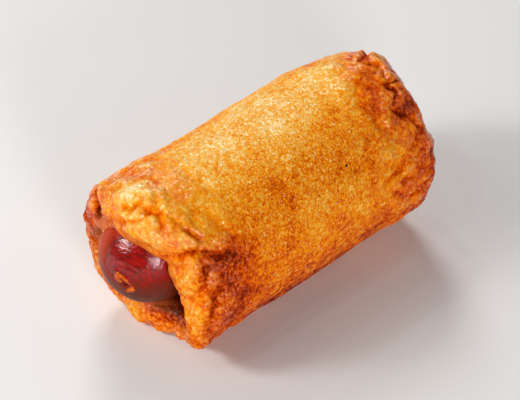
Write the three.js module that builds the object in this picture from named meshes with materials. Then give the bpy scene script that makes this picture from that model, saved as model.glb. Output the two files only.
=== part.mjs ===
// A roll of browned dough wrapped round a small sausage.
// Millimetres, +Z up. The roll lies along X with the sausage showing at the -X end.
// Directions round the roll are in degrees: 0 is the top, 90 faces -Y, 180 is the underside.

import * as THREE from 'three';

// ---- Driving dimensions ----

const ROLL_RADIUS = 20.2;
const ROLL_TAPER = 0.006; // radius lost for each mm towards +X
const REST_SINK = 1.2; // how far the underside is flattened by lying down
const REST_SOFTNESS = 0.4; // roundness of the edge of that flat spot
const AXIS_HEIGHT = ROLL_RADIUS - REST_SINK;

const SAUSAGE_RADIUS = 10.75;
const SAUSAGE_OFFSET_Y = 1.5; // the sausage lies a little off the roll's middle
const SAUSAGE_OFFSET_Z = 1.2;
const NEAR_DOME_X = -29.7; // where the sausage's round ends begin
const FAR_DOME_X = 24.5;
const CLEARANCE = 0.4; // between the sausage and the dough

const NEAR_SHOULDER_X = -30.2; // where the wall starts to turn into the lip
const NEAR_LIP_X = -33.2; // the lip's level before the reaches below are added
const FAR_SHOULDER_X = 29.5;
const FAR_LIP_X = 33.2;
const LIP_LENGTH_PER_RADIAN = 5.0; // length of the lip's curve, for placing creases
const POCKET_DEPTH = 10; // how far in a gap beside the sausage closes
const LIP_SQUARENESS = 0.95; // under 1 fills the lip's outer corner
const LIP_SHARE = 0.45; // the lip's crest, as a share of the wall's thickness
const FAR_TUCK = 3.2; // from the far lip's crest back to the sausage

const WALL_THICKNESS = ROLL_RADIUS - SAUSAGE_RADIUS - CLEARANCE;

// ---- The near lip, a sum of named rises round the roll ----

const NEAR_REACH_BASE = 0.3;
const NEAR_REACHES = [
  { part: 'hood over the sausage', at: -8, width: 54, size: 4.1 },
  { part: 'notch between hood and side fold', at: 57, width: 8, size: -1.1 },
  { part: 'left lobe', at: -74, width: 24, size: 1.05 },
  { part: 'notch above the left lobe', at: -40, width: 7, size: -0.7 },
  { part: 'foot of the side fold', at: 115, width: 11, size: 1.2 },
  { part: 'low front of the pocket', at: 147, width: 21, size: -3.2 },
  { part: 'hood edge above the sausage', at: -14, width: 14, size: -0.7 },
  { part: 'lower left strip', at: -130, width: 20, size: 1.75 },
];

const NEAR_TUCK_BASE = 3.0;
const NEAR_TUCKS = [
  { part: 'hood pressed on the sausage', at: 20, width: 60, size: -1.8 },
  { part: 'thin film by the left lobe', at: -52, width: 24, size: -3.3 },
];

const NEAR_MOUTHS = [
  { part: 'pocket', at: 117, width: 25, size: 5.4 },
  { part: 'floor of the pocket', at: 165, width: 24, size: 0.5 },
  { part: 'lower left gap', at: -150, width: 50, size: 0.6 },
];

const NEAR_SWELL_BASE = -0.2;
const NEAR_SWELLS = [
  { part: 'under the pocket', at: 158, width: 26, size: -2.0 },
  { part: 'upper left corner', at: -38, width: 20, size: -0.7 },
  { part: 'left flank', at: -62, width: 45, size: -0.5 },
  { part: 'top of the hood', at: 20, width: 40, size: 0.4 },
  { part: 'lower left', at: -140, width: 30, size: -0.5 },
];
const NEAR_BULGE_RAMP = [-18, -31]; // x where a swell above 0 starts and where it is full
const NEAR_PINCH_RAMP = [-4, -32]; // the same for one below 0

const THIN_HOOD_LIP = [{ part: 'hood', at: 0, width: 60, size: -0.13 }];

// ---- The far lip ----

const FAR_REACH_BASE = 2.9;
const FAR_REACHES = [
  { part: 'side', at: 66, width: 46, size: 1.2 },
  { part: 'notch', at: 57, width: 6, size: -1.1 },
  { part: 'top', at: -8, width: 20, size: 2.2 },
  { part: 'lower side', at: 104, width: 14, size: 0.5 },
];

const FAR_MOUTH_BASE = 1.2;
const FAR_MOUTHS = [
  { part: 'side', at: 60, width: 60, size: 1.0 },
  { part: 'lower left', at: -140, width: 50, size: 0.8 },
];

const FAR_SWELL_BASE = -0.5;
const FAR_SWELLS = [
  { part: 'top', at: 0, width: 27, size: 1.3 },
  { part: 'side', at: 100, width: 35, size: 0.4 },
];
const FAR_SWELL_RAMP = [14, 30];

// ---- The wall between the lips ----

const WALL_SWELLS = [
  { part: 'left waist', x: -9, length: 12, at: -60, width: 50, size: -0.75 },
  { part: 'left flank end', x: -23, length: 4.5, at: -52, width: 25, size: 0.7 },
  { part: 'left shoulder', x: 22, length: 8, at: -50, width: 45, size: 0.5 },
  { part: 'left end', x: 32.5, length: 5, at: -45, width: 25, size: -0.9 },
  { part: 'lower side shoulder', x: -22, length: 6, at: 125, width: 30, size: 0.6 },
  { part: 'lower side belly', x: -8, length: 8, at: 125, width: 35, size: 0.3 },
  { part: 'lower side waist', x: 17, length: 7, at: 125, width: 35, size: -0.4 },
  { part: 'lower side end', x: 27, length: 5, at: 125, width: 30, size: 0.2 },
];
const FOOT = { at: 121, width: 12, size: 1.9, startX: -26, fullX: -32 };

// ---- Creases, as paths of [length along the roll, direction round it] ----

const CREASES = [
  { part: 'left lobe', depth: 0.8, width: 1.3, path: [[-32.4, -52], [-36.1, -40], [-39, -56]] },
  { part: 'under the hood lump', depth: 0.7, width: 0.9, path: [[-34, -10], [-34.4, 2], [-31.6, 3]] },
  { part: 'hood dip', depth: 0.8, width: 0.9, path: [[-37.4, -7], [-34.6, 13], [-32.4, 17]] },
  { part: 'hood edge', depth: 1.1, width: 1.0, path: [[-31.3, 23], [-28.8, 43], [-32.6, 46], [-37.6, 49]] },
  { part: 'side crease', depth: 1.1, width: 1.1, path: [[-31.2, 49], [-26.4, 54], [-21, 62]] },
  { part: 'side fold', depth: 1.0, width: 1.0, path: [[-30.7, 50], [-31.2, 65], [-36.3, 80]] },
  { part: 'behind the foot', depth: 0.6, width: 1.3, path: [[-25.8, 80], [-30.2, 84], [-31.6, 100]] },
  { part: 'top split', depth: 0.9, width: 0.9, path: [[34.5, -16], [30.2, -4]] },
  { part: 'top ring', depth: 1.3, width: 0.9, path: [[30.2, -6], [30.8, 5], [30, 20]] },
  { part: 'cut in the rim', depth: 0.9, width: 0.8, path: [[29.8, 20], [33.2, 19]] },
  { part: 'curl of the ring', depth: 1.1, width: 0.9, path: [[29.6, 21], [30.2, 28], [27.3, 32.5]] },
  { part: 'side ring', depth: 1.0, width: 0.9, path: [[27.3, 32], [29.4, 39], [30.5, 52], [32.6, 57]] },
  { part: 'edge of the pale top', depth: 0.4, width: 0.9, path: [[25.5, 8], [21.3, 16], [11, 18]] },
  { part: 'upper side pleat', depth: 0.45, width: 0.9, path: [[27.5, 65], [19.9, 72]] },
  { part: 'lower side pleat', depth: 0.8, width: 0.9, path: [[32.5, 88], [25.9, 95]] },
];
const CREASE_SOFTNESS = 1.35;
const CREASE_LIP = 0.3; // height of the lips beside a crease, as a share of its depth
const CREASE_LIP_PLACE = 2.1; // from the crease to the top of its lips, in crease widths
const CREASE_LIP_WIDTH = 1.1;
const CREASE_TAPER = 0.22; // share of the path over which each end fades
const CREASE_END_DEPTH = 0.25; // depth left at the very ends
const CREASE_WANDER = 0.9;
const CREASE_WANDER_LENGTH = 3.6;

// ---- Puffs of the skin, strongest near the two ends ----

const PUFFS = [
  { length: 6.0, size: 0.9, level: 0.45, seed: 3.1 },
  { length: 2.9, size: 0.3, level: 0.42, seed: 11.7 },
];
const PUFF_ROUNDNESS = 0.004;
const BODY_WAVE = { length: 5.0, size: 0.1, seed: 41.0 };
const NOISE_SCALE = 1.2;
const NOISE_GAIN = 2.1; // brings the noise to about -1 to 1
const PUFFED_NEAR = [-31, -12]; // full puffs before the first x, none after the second
const PUFFED_FAR = [12, 31];
const RELIEF_SHARES = [0.03, 0.4]; // relief fades in over these shares of the wall

// ---- The drawn-up tip of the sausage ----

const TIP_MARK = { tilt: 22.3, at: 89, radius: 1.6, rim: 0.3, hollow: 0.7 };

// ---- Mesh steps ----

const CRUST_STEPS = { around: 88, nearLip: 16, wall: 18, farLip: 14, bore: 14 };
const SAUSAGE_STEPS = { around: 44, dome: 11, body: 7 };

// ---- Helpers ----

const radians = THREE.MathUtils.degToRad;

function wrapDegrees(angle) {
  return THREE.MathUtils.euclideanModulo(angle + 180, 360) - 180;
}

function bell(distance) {
  return Math.exp(-distance * distance);
}

function bellRound(feature, around) {
  return bell(wrapDegrees(around - feature.at) / feature.width);
}

function sumRound(features, around) {
  return features.reduce((sum, feature) => sum + feature.size * bellRound(feature, around), 0);
}

function ramp(from, to, value) {
  const t = THREE.MathUtils.clamp((value - from) / (to - from), 0, 1);
  return t * t * (3 - 2 * t);
}

// A repeatable slope for a corner of the noise lattice, by mixing its whole-number place.
function latticeSlope(i, j, k) {
  let mixed = Math.imul(i, 0x9e3779b1) ^ Math.imul(j, 0x85ebca77) ^ Math.imul(k, 0xc2b2ae3d);
  mixed ^= mixed >>> 15;
  mixed = Math.imul(mixed, 0x2c1b3c6d);
  mixed ^= mixed >>> 12;
  mixed = Math.imul(mixed, 0x297a2d39);
  mixed ^= mixed >>> 15;
  const tenBits = (shift) => ((mixed >>> shift) & 1023) / 511.5 - 1;
  return [tenBits(0), tenBits(10), tenBits(20)];
}

// Smooth noise of about -0.5 to 0.5 whose features are `length` mm across.
function noise(point, length, seed) {
  const place = point.map((value) => value / length + seed);
  const corner = place.map(Math.floor);
  const inside = place.map((value, axis) => value - corner[axis]);
  const fade = inside.map((f) => f * f * f * (f * (f * 6 - 15) + 10));
  let total = 0;
  for (let dx = 0; dx <= 1; dx += 1) {
    for (let dy = 0; dy <= 1; dy += 1) {
      for (let dz = 0; dz <= 1; dz += 1) {
        const step = [dx, dy, dz];
        const slope = latticeSlope(corner[0] + dx, corner[1] + dy, corner[2] + dz);
        const dot = slope.reduce((sum, s, axis) => sum + s * (inside[axis] - step[axis]), 0);
        const weight = fade.reduce((product, f, axis) => product * (step[axis] ? f : 1 - f), 1);
        total += weight * dot;
      }
    }
  }
  return total * NOISE_SCALE;
}

// ---- The sausage ----

function sausageRadius(x) {
  const near = THREE.MathUtils.clamp((NEAR_DOME_X - x) / SAUSAGE_RADIUS, 0, 0.999);
  const far = THREE.MathUtils.clamp((x - FAR_DOME_X) / SAUSAGE_RADIUS, 0, 0.999);
  return SAUSAGE_RADIUS * Math.sqrt(1 - near * near) * Math.sqrt(1 - far * far);
}

function tipMarkDirection() {
  const tilt = radians(TIP_MARK.tilt);
  const at = radians(TIP_MARK.at);
  const aside = Math.sin(tilt);
  return new THREE.Vector3(-Math.cos(tilt), -aside * Math.sin(at), aside * Math.cos(at));
}

// Height of the drawn-up tip above the smooth dome: a rim round a small hollow.
function tipMarkHeight(direction) {
  const reach = (direction.angleTo(tipMarkDirection()) * SAUSAGE_RADIUS) / TIP_MARK.radius;
  return TIP_MARK.rim * bell((reach - 1) / 0.45) - TIP_MARK.hollow * bell(reach / 0.6);
}

function sausageRows() {
  const rows = [];
  for (let step = 1; step <= SAUSAGE_STEPS.dome; step += 1) {
    const angle = (Math.PI / 2) * (step / SAUSAGE_STEPS.dome) ** 1.1;
    const radius = SAUSAGE_RADIUS * Math.sin(angle);
    rows.push({ x: NEAR_DOME_X - SAUSAGE_RADIUS * Math.cos(angle), radius });
  }
  for (let step = 1; step <= SAUSAGE_STEPS.body; step += 1) {
    const x = THREE.MathUtils.lerp(NEAR_DOME_X, FAR_DOME_X, step / SAUSAGE_STEPS.body);
    rows.push({ x, radius: SAUSAGE_RADIUS });
  }
  for (let step = SAUSAGE_STEPS.dome - 1; step >= 1; step -= 1) {
    const angle = ((Math.PI / 2) * step) / SAUSAGE_STEPS.dome;
    const radius = SAUSAGE_RADIUS * Math.sin(angle);
    rows.push({ x: FAR_DOME_X + SAUSAGE_RADIUS * Math.cos(angle), radius });
  }
  return rows;
}

function sausagePoint(x, radius, around) {
  const angle = radians(around);
  const offset = new THREE.Vector3(x - NEAR_DOME_X, -radius * Math.sin(angle), radius * Math.cos(angle));
  if (offset.x <= 0) {
    offset.setLength(SAUSAGE_RADIUS + tipMarkHeight(offset.clone().normalize()));
  }
  const centre = new THREE.Vector3(NEAR_DOME_X, SAUSAGE_OFFSET_Y, SAUSAGE_OFFSET_Z + AXIS_HEIGHT);
  return offset.add(centre).toArray();
}

function sausageGeometry() {
  const columns = SAUSAGE_STEPS.around;
  const rows = sausageRows();
  const positions = [];
  for (const row of rows) {
    for (let column = 0; column < columns; column += 1) {
      positions.push(...sausagePoint(row.x, row.radius, (360 * column) / columns));
    }
  }
  const nearPole = positions.length / 3;
  positions.push(...sausagePoint(NEAR_DOME_X - SAUSAGE_RADIUS, 0, 0));
  const farPole = nearPole + 1;
  positions.push(...sausagePoint(FAR_DOME_X + SAUSAGE_RADIUS, 0, 0));

  const index = [];
  for (let column = 0; column < columns; column += 1) {
    const next = (column + 1) % columns;
    for (let row = 0; row < rows.length - 1; row += 1) {
      const a = row * columns + column;
      const b = row * columns + next;
      index.push(a, b, b + columns, a, b + columns, a + columns);
    }
    const last = (rows.length - 1) * columns;
    index.push(nearPole, next, column);
    index.push(farPole, last + column, last + next);
  }
  return closedGeometry(positions, index);
}

// ---- The dough ----

function wallRadius(x, around) {
  let radius = ROLL_RADIUS - ROLL_TAPER * x;
  for (const swell of WALL_SWELLS) {
    radius += swell.size * bell((x - swell.x) / swell.length) * bellRound(swell, around);
  }
  radius += FOOT.size * bellRound(FOOT, around) * ramp(FOOT.startX, FOOT.fullX, x);
  const near = NEAR_SWELL_BASE + sumRound(NEAR_SWELLS, around);
  radius += near * ramp(...(near > 0 ? NEAR_BULGE_RAMP : NEAR_PINCH_RAMP), x);
  const far = FAR_SWELL_BASE + sumRound(FAR_SWELLS, around);
  return radius + far * ramp(...FAR_SWELL_RAMP, x);
}

// A point at `x` and `share` of the way from the sausage out to the wall.
function doughPoint(x, share, around) {
  const angle = radians(around);
  const inner = sausageRadius(x) + CLEARANCE;
  const outer = wallRadius(x, around);
  const radius = THREE.MathUtils.lerp(inner, outer, share);
  const y = SAUSAGE_OFFSET_Y * (1 - share) - radius * Math.sin(angle);
  const z = SAUSAGE_OFFSET_Z * (1 - share) + radius * Math.cos(angle);
  return [x, y, z];
}

function nearLip(around) {
  const crest = NEAR_LIP_X - NEAR_REACH_BASE - sumRound(NEAR_REACHES, around);
  return {
    shoulder: NEAR_SHOULDER_X,
    outward: -1,
    crest,
    edge: crest + NEAR_TUCK_BASE + sumRound(NEAR_TUCKS, around),
    gapShare: mouthShare(sumRound(NEAR_MOUTHS, around)),
    crestShare: LIP_SHARE + sumRound(THIN_HOOD_LIP, around),
  };
}

function farLip(around) {
  const crest = FAR_LIP_X + FAR_REACH_BASE + sumRound(FAR_REACHES, around);
  return {
    shoulder: FAR_SHOULDER_X,
    outward: 1,
    crest,
    edge: crest - FAR_TUCK,
    gapShare: mouthShare(FAR_MOUTH_BASE + sumRound(FAR_MOUTHS, around)),
    crestShare: LIP_SHARE,
  };
}

function mouthShare(gap) {
  return THREE.MathUtils.clamp(gap / WALL_THICKNESS, 0, 0.9);
}

// The lip's curve: turn 0 is its shoulder, half a turn ends at the sausage.
function lipPlace(lip, turn) {
  const crestShare = lip.gapShare + (1 - lip.gapShare) * lip.crestShare;
  const rise = Math.sin(turn);
  const spread = Math.abs(Math.cos(turn));
  const along = lip.shoulder + lip.outward * LIP_LENGTH_PER_RADIAN * turn;
  if (turn <= Math.PI / 2) {
    const x = lip.shoulder + (lip.crest - lip.shoulder) * rise ** LIP_SQUARENESS;
    return { x, share: crestShare + (1 - crestShare) * spread ** LIP_SQUARENESS, along };
  }
  const x = lip.edge + (lip.crest - lip.edge) * rise;
  return { x, share: crestShare - (crestShare - lip.gapShare) * spread, along };
}

function borePlace(around, progress) {
  const near = nearLip(around);
  const far = farLip(around);
  const x = THREE.MathUtils.lerp(far.edge, near.edge, 0.5 - 0.5 * Math.cos(Math.PI * progress));
  const farGap = far.gapShare * ramp(POCKET_DEPTH, 0, far.edge - x);
  const nearGap = near.gapShare * ramp(POCKET_DEPTH, 0, x - near.edge);
  return { x, share: farGap + nearGap, along: null };
}

// The places of one loop along the roll: near lip, wall, far lip and back through the bore.
function doughLoop(around) {
  const { nearLip: nearSteps, wall, farLip: farSteps, bore } = CRUST_STEPS;
  const places = [];
  for (let step = 0; step < nearSteps; step += 1) {
    places.push(lipPlace(nearLip(around), Math.PI * (1 - step / nearSteps)));
  }
  for (let step = 0; step < wall; step += 1) {
    const x = THREE.MathUtils.lerp(NEAR_SHOULDER_X, FAR_SHOULDER_X, step / wall);
    places.push({ x, share: 1, along: x });
  }
  for (let step = 0; step < farSteps; step += 1) {
    places.push(lipPlace(farLip(around), (Math.PI * step) / farSteps));
  }
  for (let step = 0; step < bore; step += 1) {
    places.push(borePlace(around, step / bore));
  }
  return places;
}

function distanceToPath(crease, along, across) {
  const middle = crease.path[Math.floor(crease.path.length / 2)][1];
  const toLength = (around) => radians(wrapDegrees(around - middle)) * AXIS_HEIGHT;
  let best = { distance: Infinity, progress: 0 };
  for (let leg = 0; leg < crease.path.length - 1; leg += 1) {
    const [startX, startAround] = crease.path[leg];
    const [endX, endAround] = crease.path[leg + 1];
    const start = new THREE.Vector2(startX, toLength(startAround));
    const run = new THREE.Vector2(endX, toLength(endAround)).sub(start);
    const here = new THREE.Vector2(along, toLength(across.around) + across.wander).sub(start);
    const t = THREE.MathUtils.clamp(here.dot(run) / run.lengthSq(), 0, 1);
    const distance = here.sub(run.multiplyScalar(t)).length();
    if (distance < best.distance) {
      best = { distance, progress: (leg + t) / (crease.path.length - 1) };
    }
  }
  return best;
}

function creaseHeight(point, place, around) {
  const wander = (seed) => CREASE_WANDER * noise(point, CREASE_WANDER_LENGTH, seed);
  const along = place.along + wander(7.3);
  const across = { around, wander: wander(17.1) };
  let height = 0;
  for (const crease of CREASES) {
    const { distance, progress } = distanceToPath(crease, along, across);
    const fade = ramp(0, CREASE_TAPER, progress) * ramp(1, 1 - CREASE_TAPER, progress);
    const depth = crease.depth * THREE.MathUtils.lerp(CREASE_END_DEPTH, 1, fade);
    const reach = distance / crease.width;
    height -= depth * Math.exp(-(reach ** CREASE_SOFTNESS));
    height += CREASE_LIP * depth * bell((reach - CREASE_LIP_PLACE) / CREASE_LIP_WIDTH);
  }
  return height;
}

function puffHeight(point, along) {
  const ends = Math.max(1 - ramp(...PUFFED_NEAR, along), ramp(...PUFFED_FAR, along));
  let height = 0;
  for (const puff of PUFFS) {
    const value = NOISE_GAIN * noise(point, puff.length, puff.seed);
    height += ends * puff.size * (Math.sqrt(value * value + PUFF_ROUNDNESS) - puff.level);
  }
  const wave = NOISE_GAIN * noise(point, BODY_WAVE.length, BODY_WAVE.seed);
  return height + (1 - ends) * BODY_WAVE.size * wave;
}

function reliefHeight(point, place, around) {
  if (place.along === null) {
    return 0;
  }
  const height = creaseHeight(point, place, around) + puffHeight(point, place.along);
  return height * ramp(...RELIEF_SHARES, place.share);
}

// Lifts a point to its height above the table and flattens what would lie below it.
function settle(point) {
  const z = point.z + AXIS_HEIGHT;
  const above = THREE.MathUtils.clamp(0.5 + (0.5 * z) / REST_SOFTNESS, 0, 1);
  point.z = z * above + REST_SOFTNESS * above * (1 - above);
  return point;
}

// The smooth dough surface, as one loop of points for each direction round the roll.
function doughLoops() {
  const loops = [];
  for (let column = 0; column < CRUST_STEPS.around; column += 1) {
    const around = (360 * column) / CRUST_STEPS.around;
    const places = doughLoop(around);
    loops.push(places.map((place) => ({ place, around, point: doughPoint(place.x, place.share, around) })));
  }
  return loops;
}

function crustGeometry() {
  const loops = doughLoops();
  const columns = loops.length;
  const rows = loops[0].length;
  const number = (column, row) => ((column + columns) % columns) * rows + ((row + rows) % rows);
  const smooth = loops.flat().map(({ point }) => new THREE.Vector3(...point));
  const positions = [];
  const index = [];
  for (let column = 0; column < columns; column += 1) {
    for (let row = 0; row < rows; row += 1) {
      const { place, around, point } = loops[column][row];
      const along = smooth[number(column, row + 1)].clone().sub(smooth[number(column, row - 1)]);
      const round = smooth[number(column + 1, row)].clone().sub(smooth[number(column - 1, row)]);
      const outward = round.cross(along).normalize();
      const relief = outward.multiplyScalar(reliefHeight(point, place, around));
      const lifted = relief.add(smooth[number(column, row)]);
      positions.push(...settle(lifted).toArray());

      const corners = [number(column, row), number(column + 1, row)];
      corners.push(number(column + 1, row + 1), number(column, row + 1));
      index.push(corners[0], corners[1], corners[2], corners[0], corners[2], corners[3]);
    }
  }
  return closedGeometry(positions, index);
}

function closedGeometry(positions, index) {
  const geometry = new THREE.BufferGeometry();
  geometry.setAttribute('position', new THREE.Float32BufferAttribute(positions, 3));
  geometry.setIndex(index);
  geometry.computeVertexNormals();
  return geometry;
}

// ---- The roll ----

function namedMesh(name, geometry, material) {
  const mesh = new THREE.Mesh(geometry, material);
  mesh.name = name;
  return mesh;
}

function sausageRoll() {
  const dough = new THREE.MeshStandardMaterial({ color: 0xd88a2c, roughness: 0.4, metalness: 0 });
  const skin = new THREE.MeshStandardMaterial({ color: 0x8a2a1c, roughness: 0.28, metalness: 0 });
  const roll = new THREE.Group();
  roll.add(namedMesh('crust', crustGeometry(), dough));
  roll.add(namedMesh('sausage', sausageGeometry(), skin));

  // The origin is under the middle of the whole roll.
  const middle = new THREE.Box3().setFromObject(roll).getCenter(new THREE.Vector3());
  roll.position.set(-middle.x, -middle.y, 0);
  return roll;
}

export default sausageRoll();
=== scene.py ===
"""A sausage roll: browned, puffed dough wrapped round a small sausage, lying on a pale floor.

Lengths are in millimetres until a mesh is made, and metres in the scene. The roll lies along X with
the sausage showing at the -X end. Directions round the roll are in degrees: 0 is the top, 90 faces -Y
and 180 is the underside.
"""

import logging
import math
from dataclasses import dataclass, field
from enum import Enum
from typing import Optional, Sequence, Union

import bpy
import numpy as np
from mathutils import Matrix, Vector


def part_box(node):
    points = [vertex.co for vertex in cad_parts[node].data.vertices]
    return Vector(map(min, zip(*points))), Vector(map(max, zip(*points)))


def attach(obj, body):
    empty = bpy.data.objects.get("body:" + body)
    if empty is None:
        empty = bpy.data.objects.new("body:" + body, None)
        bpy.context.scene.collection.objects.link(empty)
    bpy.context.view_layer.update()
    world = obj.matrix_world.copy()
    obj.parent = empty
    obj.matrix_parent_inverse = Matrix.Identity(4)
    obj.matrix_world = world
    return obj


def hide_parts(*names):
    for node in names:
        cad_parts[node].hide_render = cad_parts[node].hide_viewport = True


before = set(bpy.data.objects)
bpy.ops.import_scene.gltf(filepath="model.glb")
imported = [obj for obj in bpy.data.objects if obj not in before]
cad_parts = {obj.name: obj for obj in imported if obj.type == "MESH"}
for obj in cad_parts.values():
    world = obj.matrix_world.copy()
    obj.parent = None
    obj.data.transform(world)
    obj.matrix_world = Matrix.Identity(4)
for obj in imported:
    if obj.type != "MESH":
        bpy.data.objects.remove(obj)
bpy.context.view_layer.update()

LOG = logging.getLogger("sausage_roll")
MM = 0.001
Field = np.ndarray
Socket = bpy.types.NodeSocket
Input = Union[Socket, float, Sequence[float]]


# ---- Shaping helpers ----


def wrap_degrees(angle: Field) -> Field:
    """Return the angle brought into -180 to 180."""
    return (angle + 180.0) % 360.0 - 180.0


def bell(distance: Field) -> Field:
    """Return a bell curve: 1 in the middle, about a third at distance 1."""
    return np.exp(-np.square(distance))


def ramp(start: float, end: float, value: Field) -> Field:
    """Ease from 0 at the start to 1 at the end.

    Args:
        start: The value where the ramp leaves 0. It may be larger than the end.
        end: The value where the ramp reaches 1.
        value: The values to place on the ramp.

    Returns:
        The eased share, between 0 and 1.
    """
    share = np.clip((value - start) / (end - start), 0.0, 1.0)
    return share * share * (3.0 - 2.0 * share)


AXIS_FACTORS = (0x9E3779B1, 0x85EBCA77, 0xC2B2AE3D)  # large odd numbers, which scramble well
MIXING_ROUNDS = ((15, 0x2C1B3C6D), (12, 0x297A2D39))
LAST_SHIFT = 15
SLOPE_BITS = 10
NOISE_LEVEL = 1.2  # brings the noise to about -0.5 to 0.5
NOISE_GAIN = 2.1  # brings that to about -1 to 1


def lattice_slopes(corner: Sequence[Field]) -> tuple[Field, ...]:
    """Give every corner of the noise lattice a repeatable slope.

    Args:
        corner: The corners' whole numbers along X, Y and Z.

    Returns:
        The three parts of each slope, between -1 and 1.
    """
    mixed = np.zeros_like(corner[0])
    for number, factor in zip(corner, AXIS_FACTORS):
        mixed ^= number * np.uint32(factor)
    for bits, factor in MIXING_ROUNDS:
        mixed ^= mixed >> np.uint32(bits)
        mixed *= np.uint32(factor)
    mixed ^= mixed >> np.uint32(LAST_SHIFT)
    largest = (1 << SLOPE_BITS) - 1
    parts = (mixed >> np.uint32(axis * SLOPE_BITS) & np.uint32(largest) for axis in range(3))
    return tuple(part / (largest / 2.0) - 1.0 for part in parts)


def noise(points: Field, length: Union[float, Sequence[float]], seed: float) -> Field:
    """Smooth noise in space, of about -0.5 to 0.5.

    Args:
        points: Places in millimetres, with X, Y and Z in the last axis.
        length: How far across the noise's features are, or one length for each axis.
        seed: Moves the noise, so that two of one length differ.

    Returns:
        One value for each place.
    """
    place = points / np.asarray(length) + seed
    corner = np.floor(place)
    inside = place - corner
    whole = corner.astype(np.int64)
    fade = inside**3 * (inside * (inside * 6.0 - 15.0) + 10.0)
    total = np.zeros(points.shape[:-1])
    for step in np.ndindex(2, 2, 2):
        numbers = [(whole[..., axis] + step[axis]).astype(np.uint32) for axis in range(3)]
        slopes = lattice_slopes(numbers)
        dot = sum(slopes[axis] * (inside[..., axis] - step[axis]) for axis in range(3))
        weight = 1.0
        for axis in range(3):
            weight = weight * (fade[..., axis] if step[axis] else 1.0 - fade[..., axis])
        total += weight * dot
    return NOISE_LEVEL * total


def signed_noise(points: Field, length: Union[float, Sequence[float]], seed: float) -> Field:
    """Return noise of about -1 to 1, with the arguments of `noise`."""
    return NOISE_GAIN * noise(points, length, seed)


@dataclass(frozen=True)
class Wobble:
    """Smooth noise of one kind: how strong it is, how far across, and its seed."""

    size: float
    length: Union[float, tuple[float, float, float]]
    seed: float

    def at(self, points: Field) -> Field:
        """Return the noise at each place, between about minus its size and its size."""
        return self.size * signed_noise(points, self.length, self.seed)


@dataclass(frozen=True)
class Rise:
    """A named rise or dip round the roll: where it is, how wide, and how much."""

    part: str
    at: float
    width: float
    size: float

    def height(self, around: Field) -> Field:
        """Return the rise's height in each direction round the roll."""
        return self.size * bell(wrap_degrees(around - self.at) / self.width)


def total_rise(base: float, rises: Sequence[Rise], around: Field) -> Field:
    """Return the base plus every rise, in each direction round the roll."""
    return base + sum(rise.height(around) for rise in rises)


@dataclass(frozen=True)
class Patch:
    """A named soft patch on the roll, by its place along and round it."""

    part: str
    along: float
    length: float
    at: float
    width: float
    size: float

    def height(self, along: Field, around: Field) -> Field:
        """Return the patch's strength at each place."""
        share = bell((along - self.along) / self.length)
        return self.size * share * bell(wrap_degrees(around - self.at) / self.width)


@dataclass(frozen=True)
class Crease:
    """A fold line in the dough, as a path of places along and round the roll."""

    part: str
    depth: float
    width: float
    path: tuple[tuple[float, float], ...]
    softness: float = 1.35
    lip: float = 0.3
    lip_distance: float = 2.1  # from the line, in widths
    lip_width: float = 1.1
    taper: float = 0.22
    end_depth: float = 0.25

    def height(self, along: Field, around: Field, wander: Field, level: float) -> Field:
        """Press the fold line into the dough and lift a soft lip on each side.

        Args:
            along: Length along the surface at each place, already wandering.
            around: Direction round the roll at each place.
            wander: Sideways wander of the line at each place, in millimetres.
            level: Radius that turns directions into lengths.

        Returns:
            The height of the line and its lips at each place.
        """
        middle = self.path[len(self.path) // 2][1]
        across = np.radians(wrap_degrees(around - middle)) * level + wander
        knots = [(x, math.radians(angle - middle) * level) for x, angle in self.path]
        distance = np.full(along.shape, np.inf)
        progress = np.zeros(along.shape)
        for leg, (start, end) in enumerate(zip(knots, knots[1:])):
            run = (end[0] - start[0], end[1] - start[1])
            ahead = (along - start[0]) * run[0] + (across - start[1]) * run[1]
            share = np.clip(ahead / (run[0] ** 2 + run[1] ** 2), 0.0, 1.0)
            reach = np.hypot(along - start[0] - share * run[0], across - start[1] - share * run[1])
            nearer = reach < distance
            distance = np.where(nearer, reach, distance)
            progress = np.where(nearer, (leg + share) / (len(knots) - 1), progress)
        full = ramp(0.0, self.taper, progress) * ramp(1.0, 1.0 - self.taper, progress)
        depth = self.depth * (self.end_depth + (1.0 - self.end_depth) * full)
        offset = distance / self.width
        lips = self.lip * bell((offset - self.lip_distance) / self.lip_width)
        return depth * (lips - np.exp(-(offset**self.softness)))


@dataclass(frozen=True)
class Wrinkles:
    """Narrow wrinkles along the roll: how long and wide they are, how deep and how sharp."""

    lengths: tuple[float, float, float]
    depth: float
    sharpness: float
    seed: float

    def height(self, points: Field) -> Field:
        """Return the wrinkles' height at each place in space."""
        nearness = np.abs(signed_noise(points, self.lengths, self.seed)) / self.sharpness
        return -self.depth * np.exp(-nearness)


@dataclass(frozen=True)
class Puff:
    """Rounded lumps with creases between them, of one size."""

    length: float
    size: float
    level: float
    seed: float
    roundness: float = 0.004

    def height(self, points: Field) -> Field:
        """Return the lumps' height at each place in space."""
        value = signed_noise(points, self.length, self.seed)
        return self.size * (np.sqrt(value * value + self.roundness) - self.level)


def grid_normals(points: Field) -> Field:
    """Unit normals of a grid that closes on itself both ways.

    Args:
        points: Rows of places, each row running round the roll.

    Returns:
        The outward normal at each place.
    """
    along = np.roll(points, -1, 0) - np.roll(points, 1, 0)
    around = np.roll(points, -1, 1) - np.roll(points, 1, 1)
    normals = np.cross(around, along)
    return normals / (np.linalg.norm(normals, axis=-1, keepdims=True) + 1e-12)


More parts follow.
